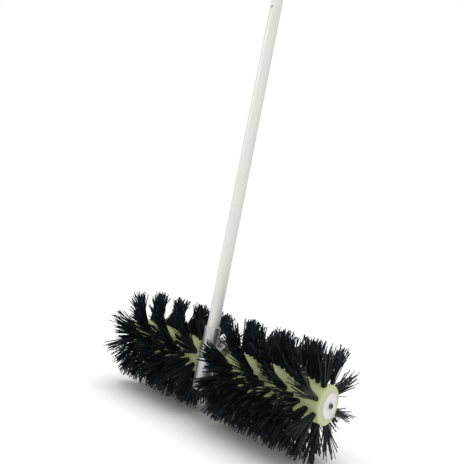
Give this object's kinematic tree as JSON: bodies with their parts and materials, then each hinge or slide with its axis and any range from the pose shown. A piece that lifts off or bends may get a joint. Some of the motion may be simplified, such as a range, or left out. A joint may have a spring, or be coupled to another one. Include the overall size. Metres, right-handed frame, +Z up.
{
  "type": "powered bristle sweeper attachment",
  "caption": "Motor-driven sweeping brush on a straight boom: worm gearbox between two bristle drums, with a square-ended drive shaft inside the tube.",
  "frame": {"origin": "centre of the boom tube's free end, on the tube's axis", "axes": "+Z up the boom, out of its free end; +X along the brush axle; +Y from the boom's axis towards the axle, which lies behind it"},
  "size_m": [0.542, 0.2202, 0.8951],
  "materials": {
    "boom_paint": "pale grey satin paint",
    "case_aluminium": "fine sand-cast, satin",
    "core_plastic": "moulded, matte",
    "hub_plastic": "moulded, satin",
    "bristle": "coarse extruded filament, matte",
    "zinc_steel": "zinc plated",
    "dark_steel": "black oxide",
    "machined_steel": "turned and ground",
    "bearing_steel": "ground and polished",
    "bronze": "machined bronze",
    "rubber": "moulded, matte",
    "gasket": "pressed fibre sheet"
  },
  "bodies": {
    "boom": {"boom_tube": "boom_paint", "shaft_bush_carriers": "rubber", "shaft_bushes": "bronze", "gear_case": "case_aluminium", "side_cover": "case_aluminium", "cover_gasket": "gasket", "cover_screws": "zinc_steel", "clamp_screw": "zinc_steel", "boom_lock_screw": "dark_steel", "worm_end_plug": "zinc_steel", "worm_spacer_sleeve": "zinc_steel", "grease_plug": "dark_steel", "worm_seal": "rubber", "axle_seals": "rubber", "worm_bearing_outer_rings": "bearing_steel", "worm_bearing_balls": "bearing_steel", "axle_bearing_outer_rings": "bearing_steel", "axle_bearing_balls": "bearing_steel"},
    "drive_line": {"drive_shaft": "machined_steel", "worm_shaft": "machined_steel", "worm": "machined_steel", "worm_collars": "machined_steel", "worm_bearing_inner_rings": "bearing_steel"},
    "brush": {"axle": "machined_steel", "worm_wheel_rim": "bronze", "worm_wheel_hub": "case_aluminium", "wheel_key": "machined_steel", "drive_pins": "machined_steel", "axle_bearing_inner_rings": "bearing_steel", "left_drum_core": "core_plastic", "right_drum_core": "core_plastic", "left_inner_hub": "hub_plastic", "right_inner_hub": "hub_plastic", "left_outer_hub": "hub_plastic", "right_outer_hub": "hub_plastic", "end_screws": "dark_steel", "left_tuft_row_1": "bristle", "left_tuft_row_2": "bristle", "left_tuft_row_3": "bristle", "left_tuft_row_4": "bristle", "left_tuft_row_5": "bristle", "left_tuft_row_6": "bristle", "left_tuft_row_7": "bristle", "left_tuft_row_8": "bristle", "right_tuft_row_1": "bristle", "right_tuft_row_2": "bristle", "right_tuft_row_3": "bristle", "right_tuft_row_4": "bristle", "right_tuft_row_5": "bristle", "right_tuft_row_6": "bristle", "right_tuft_row_7": "bristle", "right_tuft_row_8": "bristle"}
  },
  "joints": [
    {"name": "drum_spin", "type": "hinge", "parent": "boom", "child": "brush", "pos_m": [0, 0.045, -0.785], "axis": [1, 0, 0], "continuous": true},
    {"name": "worm_spin", "type": "hinge", "parent": "boom", "child": "drive_line", "pos_m": [0, 0, -0.785], "axis": [0, 0, 1], "continuous": true}
  ],
  "couplings": [
    {"joint": "worm_spin", "follows": "drum_spin", "ratio": 34}
  ]
}
